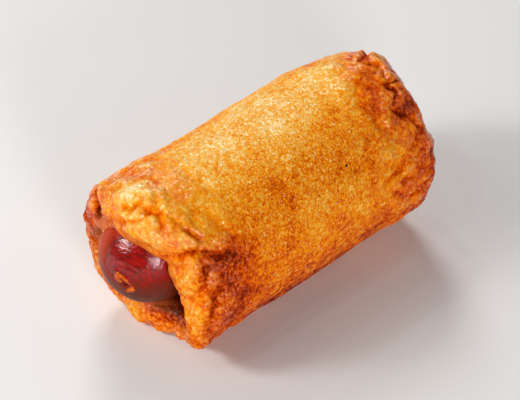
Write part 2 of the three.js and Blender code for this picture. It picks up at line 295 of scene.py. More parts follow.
def ring_faces(rows: int, columns: int, closed: bool) -> Field:
    """Corner numbers of the four-sided faces between rows of a grid.

    Args:
        rows: How many rows the grid has.
        columns: How many places each row has. A row always closes on itself.
        closed: Whether the last row joins the first.

    Returns:
        Four corner numbers for each face, turning the same way.
    """
    row = np.arange(rows if closed else rows - 1)[:, None]
    column = np.arange(columns)[None, :]
    below, above = row * columns, ((row + 1) % rows) * columns
    side = (column + 1) % columns
    return np.stack([below + column, below + side, above + side, above + column], -1).reshape(-1, 4)


def make_piece(name: str, points: Field, faces: Sequence[Sequence[int]]) -> bpy.types.Object:
    """Make a smooth-shaded mesh object from places in millimetres.

    Args:
        name: The piece's name.
        points: One place for each corner.
        faces: The corner numbers of each face.

    Returns:
        The new object, linked to the scene.
    """
    mesh = bpy.data.meshes.new(name)
    mesh.from_pydata((points * MM).tolist(), [], [list(map(int, face)) for face in faces])
    mesh.polygons.foreach_set("use_smooth", [True] * len(mesh.polygons))
    mesh.validate()
    mesh.update()
    piece = bpy.data.objects.new(name, mesh)
    bpy.context.scene.collection.objects.link(piece)
    return piece


def add_field(piece: bpy.types.Object, name: str, values: Field) -> None:
    """Store one number for each corner of a piece, for its finish to read.

    Args:
        piece: The mesh object.
        name: The field's name.
        values: One value for each corner.
    """
    layer = piece.data.attributes.new(name, "FLOAT", "POINT")
    layer.data.foreach_set("value", np.ascontiguousarray(values, dtype=np.float32).ravel())


# ---- Finishes ----


def linear(red: int, green: int, blue: int) -> tuple[float, float, float, float]:
    """Turn a screen colour into the linear colour that shaders use.

    Args:
        red: Red, 0 to 255.
        green: Green, 0 to 255.
        blue: Blue, 0 to 255.

    Returns:
        The linear colour, with full opacity.
    """
    parts = [value / 255.0 for value in (red, green, blue)]
    bright = [p / 12.92 if p <= 0.04045 else ((p + 0.055) / 1.055) ** 2.4 for p in parts]
    return (*bright, 1.0)


CLOUD_MIDDLE = 0.5  # the noise node's own middle
CLOUD_GAIN = 4.0  # brings its usual spread to about -1 to 1
MIX_COLOUR_INPUTS = (0, 6, 7)  # the mix node's share and its two colours
MIX_COLOUR_OUTPUT = 2


class Recipe:
    """Lays out a material's nodes, one ingredient at a time."""

    def __init__(self, name: str) -> None:
        """Start an empty material with its shader and output.

        Args:
            name: The material's name.
        """
        self.material = bpy.data.materials.new(name)
        self.material.use_nodes = True
        self.tree = self.material.node_tree
        self.tree.nodes.clear()
        self.shader = self.tree.nodes.new("ShaderNodeBsdfPrincipled")
        output = self.tree.nodes.new("ShaderNodeOutputMaterial")
        self.tree.links.new(self.shader.outputs["BSDF"], output.inputs["Surface"])
        self.place = self.tree.nodes.new("ShaderNodeTexCoord").outputs["Object"]

    def feed(self, target: Socket, source: Input) -> None:
        """Join a socket to an input, or set the input's own value.

        Args:
            target: The input socket.
            source: Another node's output, or a plain value.
        """
        if isinstance(source, bpy.types.NodeSocket):
            self.tree.links.new(source, target)
        else:
            target.default_value = source

    def set(self, **values: Input) -> None:
        """Set the shader's inputs by name, with underscores for spaces."""
        for name, value in values.items():
            self.feed(self.shader.inputs[name.replace("_", " ")], value)

    def field(self, name: str) -> Socket:
        """Read a field stored on the mesh.

        Args:
            name: The field's name.

        Returns:
            The field's value.
        """
        node = self.tree.nodes.new("ShaderNodeAttribute")
        node.attribute_name = name
        return node.outputs["Fac"]

    def calc(self, operation: str, first: Input, second: Input = 0.0, clamp: bool = False) -> Socket:
        """Work out one number from two.

        Args:
            operation: The name of the arithmetic, such as MULTIPLY.
            first: The first number.
            second: The second number.
            clamp: Whether to keep the answer between 0 and 1.

        Returns:
            The answer.
        """
        node = self.tree.nodes.new("ShaderNodeMath")
        node.operation = operation
        node.use_clamp = clamp
        self.feed(node.inputs[0], first)
        self.feed(node.inputs[1], second)
        return node.outputs[0]

    def blend(self, share: Input, first: Input, second: Input) -> Socket:
        """Return the first number where the share is 0 and the second where it's 1."""
        step = self.calc("SUBTRACT", second, first)
        return self.calc("ADD", first, self.calc("MULTIPLY", step, share))

    def blend_sum(self, *terms: tuple[Input, float]) -> Socket:
        """Add numbers together, each with its own weight.

        Args:
            terms: Each number and its weight.

        Returns:
            The weighted sum.
        """
        total: Input = 0.0
        for value, weight in terms:
            total = self.calc("ADD", total, self.calc("MULTIPLY", value, weight))
        return total

    def stretched(self, scale: Sequence[float]) -> Socket:
        """Scale the place in space along each axis.

        Args:
            scale: The factors along X, Y and Z. Less than 1 draws a pattern out.

        Returns:
            The scaled place.
        """
        node = self.tree.nodes.new("ShaderNodeMapping")
        self.feed(node.inputs["Vector"], self.place)
        node.inputs["Scale"].default_value = scale
        return node.outputs["Vector"]

    def grain(
        self,
        size: float,
        detail: float = 2.0,
        roughness: float = 0.5,
        distortion: float = 0.0,
        place: Optional[Socket] = None,
    ) -> Socket:
        """Cloudy noise of one size, of about -1 to 1.

        Args:
            size: How far across the clouds are, in millimetres.
            detail: How many finer layers lie on them.
            roughness: How strong those layers are.
            distortion: How much the clouds swirl.
            place: Where to read the noise, or None for the place in space.

        Returns:
            The noise.
        """
        node = self.tree.nodes.new("ShaderNodeTexNoise")
        self.feed(node.inputs["Vector"], place or self.place)
        node.inputs["Scale"].default_value = 1.0 / (size * MM)
        node.inputs["Detail"].default_value = detail
        node.inputs["Roughness"].default_value = roughness
        node.inputs["Distortion"].default_value = distortion
        offset = self.calc("SUBTRACT", node.outputs["Fac"], CLOUD_MIDDLE)
        return self.calc("MULTIPLY", offset, CLOUD_GAIN)

    def cells(self, size: float, place: Socket) -> Socket:
        """Divide space into cells, for rounded pebbles.

        Args:
            size: How far across the cells are, in millimetres.
            place: Where to read them.

        Returns:
            The distance to the nearest cell's middle, as a share of the size.
        """
        node = self.tree.nodes.new("ShaderNodeTexVoronoi")
        self.feed(node.inputs["Vector"], place)
        node.inputs["Scale"].default_value = 1.0 / (size * MM)
        return node.outputs["Distance"]

    def shift(self, place: Socket, amount: float, size: float) -> Socket:
        """Push a place about by noise, so that cells aren't regular.

        Args:
            place: The place to push.
            amount: How far it moves at most, in millimetres.
            size: How far across the noise's features are, in millimetres.

        Returns:
            The pushed place.
        """
        node = self.tree.nodes.new("ShaderNodeTexNoise")
        self.feed(node.inputs["Vector"], place)
        node.inputs["Scale"].default_value = 1.0 / (size * MM)
        node.inputs["Detail"].default_value = 1.0
        push = self.tree.nodes.new("ShaderNodeVectorMath")
        push.operation = "MULTIPLY_ADD"
        self.feed(push.inputs[0], node.outputs["Color"])
        push.inputs[1].default_value = (amount * MM,) * 3
        self.feed(push.inputs[2], place)
        return push.outputs[0]

    def colours(self, position: Socket, stops: Sequence[tuple[float, tuple]]) -> Socket:
        """A colour for each position along a row of stops.

        Args:
            position: Where on the row, 0 to 1.
            stops: Each stop's position and its linear colour.

        Returns:
            The colour.
        """
        node = self.tree.nodes.new("ShaderNodeValToRGB")
        row = node.color_ramp
        row.elements[0].position, row.elements[0].color = stops[0]
        row.elements[1].position, row.elements[1].color = stops[-1]
        for position_on_row, colour in stops[1:-1]:
            row.elements.new(position_on_row).color = colour
        self.feed(node.inputs["Fac"], position)
        return node.outputs["Color"]

    def near(self, spot: Sequence[float], reach: float, core: float = 0.4) -> Socket:
        """A spot of its own on the surface.

        Args:
            spot: The spot's middle, in millimetres.
            reach: How far from there the spot ends, in millimetres.
            core: The share of the reach that is full strength.

        Returns:
            1 in the core, easing to 0 at the reach.
        """
        node = self.tree.nodes.new("ShaderNodeVectorMath")
        node.operation = "DISTANCE"
        self.feed(node.inputs[0], self.place)
        node.inputs[1].default_value = tuple(part * MM for part in spot)
        return self.curve(node.outputs["Value"], core * reach * MM, reach * MM, 1.0, 0.0)

    def curve(
        self,
        value: Socket,
        start: float,
        end: float,
        low: float = 0.0,
        high: float = 1.0,
    ) -> Socket:
        """Map a range of numbers onto another, easing at both ends.

        Args:
            value: The number to map.
            start: The value that gives `low`.
            end: The value that gives `high`.
            low: The answer at the start.
            high: The answer at the end.

        Returns:
            The mapped number.
        """
        node = self.tree.nodes.new("ShaderNodeMapRange")
        node.interpolation_type = "SMOOTHSTEP"
        self.feed(node.inputs["Value"], value)
        limits = {"From Min": start, "From Max": end, "To Min": low, "To Max": high}
        for name, number in limits.items():
            node.inputs[name].default_value = number
        return node.outputs["Result"]

    def mix(self, share: Input, first: Input, second: Input) -> Socket:
        """Mix two colours.

        Args:
            share: How much of the second colour, 0 to 1.
            first: The first colour.
            second: The second colour.

        Returns:
            The mixed colour.
        """
        node = self.tree.nodes.new("ShaderNodeMix")
        node.data_type = "RGBA"
        share_in, first_in, second_in = (node.inputs[number] for number in MIX_COLOUR_INPUTS)
        self.feed(share_in, share)
        self.feed(first_in, first)
        self.feed(second_in, second)
        return node.outputs[MIX_COLOUR_OUTPUT]

    def bumps(self, *layers: tuple[Socket, float]) -> Socket:
        """Stack bump layers on the surface.

        Args:
            layers: Each layer's height from 0 to 1, and what 1 stands for in millimetres.

        Returns:
            The bumped normal.
        """
        normal: Optional[Socket] = None
        for height, distance in layers:
            node = self.tree.nodes.new("ShaderNodeBump")
            node.inputs["Strength"].default_value = 1.0
            node.inputs["Distance"].default_value = distance * MM
            self.feed(node.inputs["Height"], height)
            if normal is not None:
                self.feed(node.inputs["Normal"], normal)
            normal = node.outputs["Normal"]
        return normal


@dataclass(frozen=True)
class DoughGrain:
    """The grains and fields that the dough's colour, oil and relief share."""

    crumb_place: Socket
    pebbles: Socket
    fine: Socket
    low_streaks: Socket
    raised: Socket
    ends: Socket
    low_side: Socket


@dataclass(frozen=True)
class BrownedDough:
    """Fried dough: pale gold to red-brown, mottled, finely pebbled and oily, with painted shade in its
    creases and painted highlights on its lumps, pebble tops and some flecks.

    It reads the fields `browning_and_painted_light`, `raised`, `inner`, `low_side`, `upward` and `ends`.
    """

    cream: tuple = linear(253, 230, 176)
    pale_gold: tuple = linear(250, 192, 80)
    gold: tuple = linear(246, 154, 16)
    orange: tuple = linear(234, 112, 3)
    brown_orange: tuple = linear(196, 62, 0)
    red_brown: tuple = linear(112, 24, 0)
    inner_brown: tuple = linear(204, 98, 38)
    inner_share: float = 0.75
    burnt: tuple = linear(44, 8, 0)
    speck_size: float = 0.42
    # how much of the skin turns cream: pale flecks and painted glints
    fleck_and_glint_share: float = 0.55
    soft_share: float = 0.4  # how much of the skin's relief still shades it under the oil

    def grain(self, recipe: Recipe) -> DoughGrain:
        """Lay out the pebbles, crumbs and streaks.

        Args:
            recipe: The finish being made.

        Returns:
            The shared grains and fields.
        """
        ends = recipe.field("ends")
        low_side = recipe.field("low_side")
        crumb_place = recipe.shift(recipe.stretched((1.2, 1.0, 1.0)), amount=0.9, size=1.1)
        thread_place = recipe.stretched((0.4, 1.0, 1.0))
        streak_place = recipe.stretched((0.12, 1.0, 1.0))
        crumbs = recipe.grain(0.42, detail=1.0, roughness=0.4, distortion=0.7, place=crumb_place)
        threads = recipe.grain(0.5, detail=1.0, roughness=0.4, distortion=0.5, place=thread_place)
        end_grain = recipe.grain(0.55, detail=1.0, roughness=0.5, distortion=0.6)
        streaks = recipe.grain(1.0, detail=3.0, place=streak_place)
        return DoughGrain(
            crumb_place=crumb_place,
            pebbles=recipe.curve(recipe.cells(0.95, crumb_place), 0.15, 0.75, 1.0, 0.0),
            fine=recipe.blend(ends, recipe.blend(low_side, crumbs, threads), end_grain),
            low_streaks=recipe.calc("MULTIPLY", streaks, low_side),
            raised=recipe.field("raised"),
            ends=ends,
            low_side=low_side,
        )

    def browned(self, recipe: Recipe, grain: DoughGrain) -> Socket:
        """Colour the skin by how far it has browned, from 0 for cream to 1 for red-brown, with painted
        light, shade and highlights.

        Args:
            recipe: The finish being made.
            grain: The shared grains and fields.

        Returns:
            The colour.
        """
        blotches = recipe.grain(5.0, detail=3.0, roughness=0.6, distortion=0.8)
        mottle = recipe.grain(1.5, detail=3.0, roughness=0.6, distortion=0.8)
        tone = recipe.blend_sum(
            (recipe.field("browning_and_painted_light"), 1.0),
            # painted shade in the creases and painted highlight on the lumps
            (grain.raised, -0.24),
            (blotches, 0.11),
            (mottle, 0.12),
            (recipe.calc("MULTIPLY", grain.fine, recipe.blend(grain.ends, 1.0, 0.45)), 0.28),
            # paler pebble tops and darker hollows between them: painted highlight and painted shade
            (recipe.calc("SUBTRACT", grain.pebbles, 0.5), -0.16),
            (grain.low_streaks, 0.08),
        )
        return recipe.colours(
            recipe.calc("ADD", tone, 0.0, clamp=True),
            (
                (0.0, self.cream),
                (0.2, self.pale_gold),
                (0.4, self.gold),
                (0.6, self.orange),
                (0.8, self.brown_orange),
                (1.0, self.red_brown),
            ),
        )

    def flecks_and_glints(self, recipe: Recipe, grain: DoughGrain, skin: Socket) -> Socket:
        """Add the cream flecks, partly pale blister tops and partly painted glints, in the middle of the
        roll and on the lumps at its ends.

        Args:
            recipe: The finish being made.
            grain: The shared grains and fields.
            skin: The browned colour.

        Returns:
            The colour with its flecks.
        """
        speckle = recipe.grain(0.5, detail=1.0, distortion=0.8, place=grain.crumb_place)
        middle = recipe.calc("SUBTRACT", 1.0, grain.ends)
        # cream flecks on the lumps at the ends are painted glints
        painted_glints_on_lumps = recipe.calc("MULTIPLY", grain.raised, 1.6)
        places = recipe.calc("ADD", middle, painted_glints_on_lumps, clamp=True)
        cover = recipe.calc("MULTIPLY", places, self.fleck_and_glint_share)
        cover = recipe.calc("MULTIPLY", recipe.curve(speckle, 0.6, 1.0), cover)
        return recipe.mix(cover, skin, self.cream)

    def oiled(self, recipe: Recipe, grain: DoughGrain) -> Socket:
        """Oil the skin: most on the pebbles, the lumps, both ends and what faces up.

        Args:
            recipe: The finish being made.
            grain: The shared grains and fields.

        Returns:
            How oily each place is, 0 to 1.
        """
        wet = recipe.blend_sum(
            (grain.pebbles, 0.5),
            (recipe.grain(1.8, detail=2.0), 0.3),
            (grain.raised, 0.45),
            (grain.ends, 0.42),
            (recipe.field("upward"), 0.3),
            (grain.low_side, -0.1),
        )
        return recipe.curve(wet, 0.56, 0.9)

    def material(self, specks: Sequence[Field]) -> bpy.types.Material:
        """Build the finish.

        Args:
            specks: Where the burnt specks lie, in millimetres.

        Returns:
            The material.
        """
        recipe = Recipe("browned_dough")
        grain = self.grain(recipe)
        skin = self.flecks_and_glints(recipe, grain, self.browned(recipe, grain))
        turned_in = recipe.calc("MULTIPLY", recipe.field("inner"), self.inner_share)
        skin = recipe.mix(turned_in, skin, self.inner_brown)
        for speck in specks:
            skin = recipe.mix(recipe.near(speck, self.speck_size), skin, self.burnt)
        relief = (
            (recipe.grain(1.4, detail=1.0, distortion=0.4), 0.09),
            (grain.pebbles, 0.07),
            (grain.fine, 0.045),
            (grain.low_streaks, 0.06),
        )
        soft_relief = ((height, depth * self.soft_share) for height, depth in relief)
        recipe.set(
            Base_Color=skin,
            Roughness=0.5,
            Coat_Weight=self.oiled(recipe, grain),
            Coat_Roughness=0.06,
            Coat_IOR=1.52,
            Specular_IOR_Level=0.1,
            Specular_Tint=self.gold,
            Subsurface_Weight=0.1,
            Subsurface_Radius=(1.0, 0.4, 0.1),
            Subsurface_Scale=0.0009,
            Normal=recipe.bumps(*soft_relief),
            Coat_Normal=recipe.bumps(*relief),
        )
        return recipe.material


@dataclass(frozen=True)
class SausageSkin:
    """Tight smoked casing: deep glossy red with fine rings round its tip, browner low down from painted
    shade and painted reflection of the dough.

    It reads the fields `rings`, `torn`, `torn_hollow`, `under` and `aside`.
    """

    bright_red: tuple = linear(168, 12, 3)
    deep_red: tuple = linear(104, 10, 4)
    side_brown: tuple = linear(192, 66, 30)
    # painted shade and painted reflection of the dough, low on the sausage
    shaded_plum_brown: tuple = linear(112, 42, 26)
    shaded_dark_brown: tuple = linear(74, 26, 10)
    torn_orange: tuple = linear(200, 80, 8)
    torn_pale: tuple = linear(236, 150, 54)
    inside: tuple = linear(84, 20, 6)

    def torn(self, recipe: Recipe, fine: Socket, skin: Socket) -> Socket:
        """Colour the torn flaps at the tip and the slit between them.

        Args:
            recipe: The finish being made.
            fine: The skin's fine grain, which makes the edges ragged.
            skin: The colour of the whole skin.

        Returns:
            The colour with the torn tip.
        """
        flap = recipe.mix(recipe.curve(fine, 0.1, 1.0), self.torn_orange, self.torn_pale)
        flap_share = recipe.blend_sum((recipe.field("torn"), 1.0), (fine, 0.25))
        slit_share = recipe.blend_sum((recipe.field("torn_hollow"), 1.0), (fine, 0.15))
        skin = recipe.mix(recipe.curve(flap_share, 0.35, 0.6), skin, flap)
        return recipe.mix(recipe.curve(slit_share, 0.25, 0.6), skin, self.inside)

    def material(self) -> bpy.types.Material:
        """Build the finish.

        Returns:
            The material.
        """
        recipe = Recipe("sausage_skin")
        cloud = recipe.grain(2.6, detail=4.0, roughness=0.6, distortion=0.6)
        fine = recipe.grain(0.45, detail=3.0, roughness=0.6)
        dimples = recipe.grain(0.6, detail=1.5, roughness=0.6, distortion=0.5)
        rings = recipe.field("rings")
        under = recipe.field("under")
        aside = recipe.field("aside")
        fibres = recipe.blend_sum((cloud, 0.7), (rings, 0.35), (fine, 0.3))
        # painted shade and painted reflection of the dough, darker towards the underside
        low_shade = recipe.blend_sum((under, 1.0), (cloud, 0.22), (rings, 0.07), (fine, 0.08))
        dullness = recipe.blend_sum((under, 1.0), (aside, 1.1))
        skin = recipe.mix(recipe.curve(fibres, -0.9, 0.9), self.bright_red, self.deep_red)
        skin = recipe.mix(aside, skin, self.side_brown)
        skin = recipe.mix(recipe.curve(low_shade, 0.1, 0.75), skin, self.shaded_plum_brown)
        skin = recipe.mix(recipe.curve(low_shade, 0.7, 1.3), skin, self.shaded_dark_brown)
        recipe.set(
            Base_Color=self.torn(recipe, fine, skin),
            Roughness=0.4,
            Coat_Weight=recipe.curve(dullness, 0.0, 0.5, 1.0, 0.1),
            Coat_Roughness=0.09,
            Specular_IOR_Level=0.05,
            Subsurface_Weight=0.06,
            Subsurface_Radius=(1.0, 0.3, 0.2),
            Subsurface_Scale=0.001,
            Normal=recipe.bumps((cloud, 0.04), (rings, 0.01)),
            Coat_Normal=recipe.bumps((cloud, 0.05), (dimples, 0.018), (rings, 0.008)),
        )
        return recipe.material


@dataclass(frozen=True)
class PaleFloor:
    """Smooth pale board, very faintly uneven in colour."""

    tint: tuple = linear(232, 231, 229)
    shade: tuple = linear(222, 221, 219)
    shade_share: float = 0.1
    unevenness: float = 0.05
    cloud_size: float = 40.0

    def material(self) -> bpy.types.Material:
        """Build the finish.

        Returns:
            The material.
        """
        recipe = Recipe("pale_floor")
        cloud = recipe.grain(self.cloud_size, detail=3.0)
        uneven = recipe.calc("MULTIPLY", cloud, self.unevenness)
        share = recipe.calc("ADD", uneven, self.shade_share, clamp=True)
        recipe.set(
            Base_Color=recipe.mix(share, self.tint, self.shade),
            Roughness=0.7,
            Specular_IOR_Level=0.3,
        )
        return recipe.material


# ---- The sausage ----


FAR_FROM_TIP = 30.0  # stands for the distance from the tip anywhere behind the near dome


@dataclass
class Sausage:
    """The small sausage that runs through the roll, with a round end at each side."""

    finish: SausageSkin = field(default_factory=SausageSkin)
    radius: float = 10.75
    offset_y: float = 1.5
    offset_z: float = 1.2
    near_dome_x: float = -29.7
    far_dome_x: float = 24.5
    dome_limit: float = 0.999  # keeps the radius above 0 at both tips
    tip_tilt: float = 22.3
    tip_at: float = 89.0
    tip_reach: float = 6.0  # nothing farther than this from the tip is torn
    slit_length: float = 1.9
    slit_width: float = 0.95
    slit_turn: float = -40.0
    slit_end_width: float = 0.8
    slit_depth: float = 0.6
    slit_sharpness: float = 0.6
    ragged: Wobble = Wobble(0.45, 0.9, 2.9)
    ragged_across: float = 0.6  # how much of the raggedness reaches each edge
    ragged_reach: float = 0.5
    ragged_upper: float = 0.4
    flap_width: float = 0.65  # as a share of the slit's own size
    flap_height: float = 0.35
    flap_lumps: Wobble = Wobble(0.25, 0.8, 6.6)
    flap_base: float = 0.1  # how much flap there is all round, at the slit's ends and above it
    flap_at_ends: float = 0.9
    flap_above: float = 0.7
    upper_span: tuple[float, float] = (-0.3, 0.5)
    wrinkle_height: float = 0.03
    wrinkle_turning: float = 4.0  # radians for each millimetre from the tip
    wrinkle_wander: Wobble = Wobble(1.5, 2.5, 8.1)
    wrinkle_reach: tuple[float, float] = (9.0, 3.0)
    swell: Wobble = Wobble(0.05, 5.0, 12.3)
    ring_turning: float = 5.0  # radians for each millimetre from the tip
    ring_wander: Wobble = Wobble(2.4, 3.0, 5.7)
    fine_ring_wander: Wobble = Wobble(1.6, 0.9, 9.2)
    under_span: tuple[float, float] = (0.75, -0.3)
    under_lean: float = 0.25
    aside_span: tuple[float, float] = (0.05, 0.45)
    columns: int = 160
    dome_rows: int = 60
    body_rows: int = 20

    def radius_at(self, x: Field) -> Field:
        """Radius of the smooth sausage.

        Args:
            x: Place along the roll.

        Returns:
            The radius at each place.
        """
        near = np.clip((self.near_dome_x - x) / self.radius, 0.0, self.dome_limit)
        far = np.clip((x - self.far_dome_x) / self.radius, 0.0, self.dome_limit)
        return self.radius * np.sqrt(1.0 - near**2) * np.sqrt(1.0 - far**2)

    def outline(self) -> Field:
        """Lay out the sausage's rows, from the near tip to the far one.

        Returns:
            Each row's place along the roll and its radius.
        """
        turn = np.linspace(0.0, math.pi / 2, self.dome_rows + 1)
        reach, radius = self.radius * np.cos(turn), self.radius * np.sin(turn)
        body = np.linspace(self.near_dome_x, self.far_dome_x, self.body_rows + 1)[1:]
        near_dome = np.column_stack([self.near_dome_x - reach, radius])
        middle = np.column_stack([body, np.full_like(body, self.radius)])
        far_dome = np.column_stack([self.far_dome_x + reach, radius])
        return np.vstack([near_dome, middle, far_dome[-2::-1]])

    def tip_direction(self) -> Field:
        """Find where the drawn-up tip lies.

        Returns:
            Its unit direction from the middle of the near dome.
        """
        tilt, at = math.radians(self.tip_tilt), math.radians(self.tip_at)
        aside = math.sin(tilt)
        return np.array([-math.cos(tilt), -aside * math.sin(at), aside * math.cos(at)])

    def build(self, axis_height: float, shift: Field) -> bpy.types.Object:
        """Build the sausage's mesh and its fields.

        Args:
            axis_height: Height of the roll's axis above the floor.
            shift: From the roll's own origin to the frame's.

        Returns:
            The sausage.
        """
        rows = self.outline()
        angle = np.radians(360.0 * np.arange(self.columns) / self.columns)
        x = np.broadcast_to(rows[1:-1, 0][:, None], (len(rows) - 2, self.columns))
        y = -rows[1:-1, 1][:, None] * np.sin(angle)
        z = rows[1:-1, 1][:, None] * np.cos(angle)
        ring = np.stack([x - self.near_dome_x, y, z], -1).reshape(-1, 3)
        far_end = self.far_dome_x - self.near_dome_x + self.radius
        local = np.vstack([ring, [(-self.radius, 0.0, 0.0), (far_end, 0.0, 0.0)]])

        dome = local[:, 0] <= 0.0
        axis_part = np.where(dome[:, None], local, local * (0.0, 1.0, 1.0))
        outward = axis_part / (np.linalg.norm(axis_part, axis=1, keepdims=True) + 1e-9)
        outward[-1] = (1.0, 0.0, 0.0)
        from_tip = np.arccos(np.clip(outward @ self.tip_direction(), -1.0, 1.0)) * self.radius
        from_tip = np.where(dome, from_tip, FAR_FROM_TIP)
        torn, hollow, height = self.tip_shape(local, outward, from_tip)
        points = local + outward * height[:, None]
        points += np.array([self.near_dome_x, self.offset_y, self.offset_z + axis_height]) + shift

        faces = ring_faces(len(rows) - 2, self.columns, closed=False).tolist()
        near_pole, far_pole = len(ring), len(ring) + 1
        last = (len(rows) - 3) * self.columns
        for column in range(self.columns):
            side = (column + 1) % self.columns
            faces.append((near_pole, side, column))
            faces.append((far_pole, last + column, last + side))
        piece = make_piece("sausage_link", points, faces)
        broad, fine = self.ring_wander.at(local), self.fine_ring_wander.at(local)
        lean = outward[:, 2] - self.under_lean * outward[:, 0]
        add_field(piece, "torn", torn)
        add_field(piece, "torn_hollow", hollow)
        add_field(piece, "rings", np.sin(from_tip * self.ring_turning + broad + fine))
        # how far the skin faces down: its painted shade and its duller coat
        add_field(piece, "under", ramp(*self.under_span, lean))
        add_field(piece, "aside", ramp(*self.aside_span, outward[:, 1]))
        return piece

    def tip_shape(self, local: Field, outward: Field, from_tip: Field) -> tuple[Field, Field, Field]:
        """Shape the drawn-up tip: torn flaps round a slit.

        Args:
            local: Places from the middle of the near dome.
            outward: The smooth skin's outward direction at each place.
            from_tip: Distance over the skin from the tip.

        Returns:
            How much each place is torn flap, how much it is slit, and its height.
        """
        tip = self.tip_direction()
        turn = math.radians(self.slit_turn)
        level = np.cross(tip, (0.0, 0.0, 1.0)) * math.cos(turn)
        along_slit = level + np.cross(tip, level) * math.tan(turn)
        along_slit /= np.linalg.norm(along_slit)
        lengthwise = outward @ along_slit * self.radius
        sideways = outward @ np.cross(tip, along_slit) * self.radius
        above_tip = (outward[:, 2] - tip[2]) * self.radius

        ragged = self.ragged.at(local)
        across = (sideways + self.ragged_across * ragged) / self.slit_width
        reach = np.hypot(lengthwise / self.slit_length, across)
        reach = np.where(from_tip < self.tip_reach, reach + self.ragged_reach * ragged, np.inf)
        at_ends = bell((np.abs(lengthwise) - self.slit_length) / self.slit_end_width)
        upper = ramp(*self.upper_span, above_tip + self.ragged_upper * ragged)
        cover = self.flap_base + self.flap_at_ends * at_ends + self.flap_above * upper
        flaps = bell((reach - 1.0) / self.flap_width) * np.clip(cover, 0.0, 1.0)
        slit = bell(reach / self.slit_sharpness)
        wrinkles = np.sin(from_tip * self.wrinkle_turning + self.wrinkle_wander.at(local))
        wrinkles = self.wrinkle_height * wrinkles * ramp(*self.wrinkle_reach, from_tip)
        height = (self.flap_height + self.flap_lumps.at(local)) * flaps - self.slit_depth * slit
        return flaps, slit, height + wrinkles + self.swell.at(local)

    def dress(self, piece: bpy.types.Object) -> None:
        """Give the sausage its skin and its place in the frame.

        Args:
            piece: The sausage.
        """
        piece.data.materials.append(self.finish.material())
        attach(piece, "root")
        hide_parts("sausage")


# ---- The dough ----


class Region(Enum):
    """The stretches of one loop along the roll."""

    NEAR_LIP = "near lip"
    WALL = "wall"
    FAR_LIP = "far lip"
    BORE = "bore"


@dataclass(frozen=True)
class Lip:
    """The rounded end of the dough where it closes on the sausage."""

    shoulder: float
    level: float
    outward: int
    reach_base: float
    reaches: tuple[Rise, ...]
    tuck_base: float
    tucks: tuple[Rise, ...]
    mouth_base: float
    mouths: tuple[Rise, ...]
    thins: tuple[Rise, ...] = ()
    crest_share: float = 0.45
    widest_gap: float = 0.9
    squareness: float = 0.95
    length_per_radian: float = 5.0

    def crest(self, around: Field) -> Field:
        """Return how far out the lip's crest lies in each direction."""
        return self.level + self.outward * total_rise(self.reach_base, self.reaches, around)

    def edge(self, around: Field) -> Field:
        """Return where the lip meets the sausage in each direction."""
        return self.crest(around) - self.outward * total_rise(self.tuck_base, self.tucks, around)

    def gap_share(self, around: Field, wall: float) -> Field:
        """Return the open gap beside the sausage, as a share of the wall's thickness."""
        return np.clip(total_rise(self.mouth_base, self.mouths, around) / wall, 0.0, self.widest_gap)

    def places(self, turn: float, around: Field, wall: float) -> tuple[Field, Field, Field]:
        """Follow the lip's curve: turn 0 is its shoulder, half a turn ends at the sausage.

        Args:
            turn: How far round the curve, in radians.
            around: Directions round the roll.
            wall: The dough's thickness.

        Returns:
            Place along the roll, share of the thickness, and length along the surface.
        """
        gap = self.gap_share(around, wall)
        crest_share = gap + (1.0 - gap) * total_rise(self.crest_share, self.thins, around)
        crest, edge = self.crest(around), self.edge(around)
        rise, spread = math.sin(turn), abs(math.cos(turn))
        if turn <= math.pi / 2:
            x = self.shoulder + (crest - self.shoulder) * rise**self.squareness
            share = crest_share + (1.0 - crest_share) * spread**self.squareness
        else:
            x = edge + (crest - edge) * abs(rise)
            share = crest_share - (crest_share - gap) * spread
        along = self.shoulder + self.outward * self.length_per_radian * turn
        return x, share, np.full_like(around, along)


NEAR_LIP = Lip(
    shoulder=-30.2,
    level=-33.2,
    outward=-1,
    reach_base=0.3,
    reaches=(
        Rise("hood over the sausage", -8, 54, 4.1),
        Rise("notch between hood and side fold", 57, 8, -1.1),
        Rise("left lobe", -74, 24, 1.05),
        Rise("notch above the left lobe", -40, 7, -0.7),
        Rise("foot of the side fold", 115, 11, 1.2),
        Rise("low front of the pocket", 147, 21, -3.2),
        Rise("hood edge above the sausage", -14, 14, -0.7),
        Rise("lower left strip", -130, 20, 1.75),
    ),
    tuck_base=3.0,
    tucks=(
        Rise("hood pressed on the sausage", 20, 60, -1.8),
        Rise("thin film by the left lobe", -52, 24, -3.3),
    ),
    mouth_base=0.0,
    mouths=(
        Rise("pocket", 117, 25, 5.4),
        Rise("floor of the pocket", 165, 24, 0.5),
        Rise("lower left gap", -150, 50, 0.6),
    ),
    thins=(Rise("hood", 0, 60, -0.13),),
)

FAR_LIP = Lip(
    shoulder=29.5,
    level=33.2,
    outward=1,
    reach_base=2.9,
    reaches=(
        Rise("side", 66, 46, 1.2),
        Rise("notch", 57, 6, -1.1),
        Rise("top", -8, 20, 2.2),
        Rise("lower side", 104, 14, 0.5),
    ),
    tuck_base=3.2,
    tucks=(),
    mouth_base=1.2,
    mouths=(Rise("side", 60, 60, 1.0), Rise("lower left", -140, 50, 0.8)),
)

NEAR_SWELLS = (
    Rise("under the pocket", 158, 26, -2.0),
    Rise("upper left corner", -38, 20, -0.7),
    Rise("left flank", -62, 45, -0.5),
    Rise("top of the hood", 20, 40, 0.4),
    Rise("lower left", -140, 30, -0.5),
)
FAR_SWELLS = (Rise("top", 0, 27, 1.3), Rise("side", 100, 35, 0.4))

WALL_SWELLS = (
    Patch("left waist", -9, 12, -60, 50, -0.75),
    Patch("left flank end", -23, 4.5, -52, 25, 0.7),
    Patch("left shoulder", 22, 8, -50, 45, 0.5),
    Patch("left end", 32.5, 5, -45, 25, -0.9),
    Patch("lower side shoulder", -22, 6, 125, 30, 0.6),
    Patch("lower side belly", -8, 8, 125, 35, 0.3),
    Patch("lower side waist", 17, 7, 125, 35, -0.4),
    Patch("lower side end", 27, 5, 125, 30, 0.2),
)

